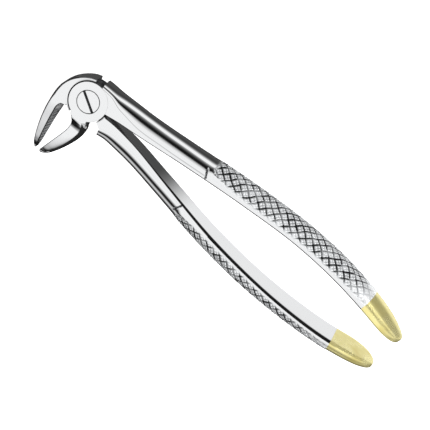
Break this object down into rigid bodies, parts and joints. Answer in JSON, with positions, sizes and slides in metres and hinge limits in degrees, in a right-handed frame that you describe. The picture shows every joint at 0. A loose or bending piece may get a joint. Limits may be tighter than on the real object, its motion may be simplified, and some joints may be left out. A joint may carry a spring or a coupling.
{
  "type": "extraction forceps",
  "caption": "Dental extraction forceps for lower roots: two forged halves crossing on a screw lap joint, square-bent hollow beaks, cross-cut curved grips and gold-plated ends.",
  "frame": {"origin": "on the pivot axis, in the flat back face of the head", "axes": "+X along the handles, away from the head; +Y towards the front half's handle; +Z along the pivot axis, from the back face to the screw's slotted head"},
  "size_m": [0.1715, 0.0524, 0.0164],
  "materials": {
    "polished_steel": "polished",
    "screw_steel": "polished",
    "gold_plate": "polished"
  },
  "bodies": {
    "rear_half": {"rear_half": "polished_steel", "pivot_screw": "screw_steel", "rear_handle_gold_end": "gold_plate"},
    "front_half": {"front_half": "polished_steel", "front_handle_gold_end": "gold_plate"}
  },
  "joints": [
    {"name": "pivot", "type": "hinge", "parent": "rear_half", "child": "front_half", "pos_m": [0, 0, 0.0043], "axis": [0, 0, 1], "range_deg": [-3, 16]}
  ]
}
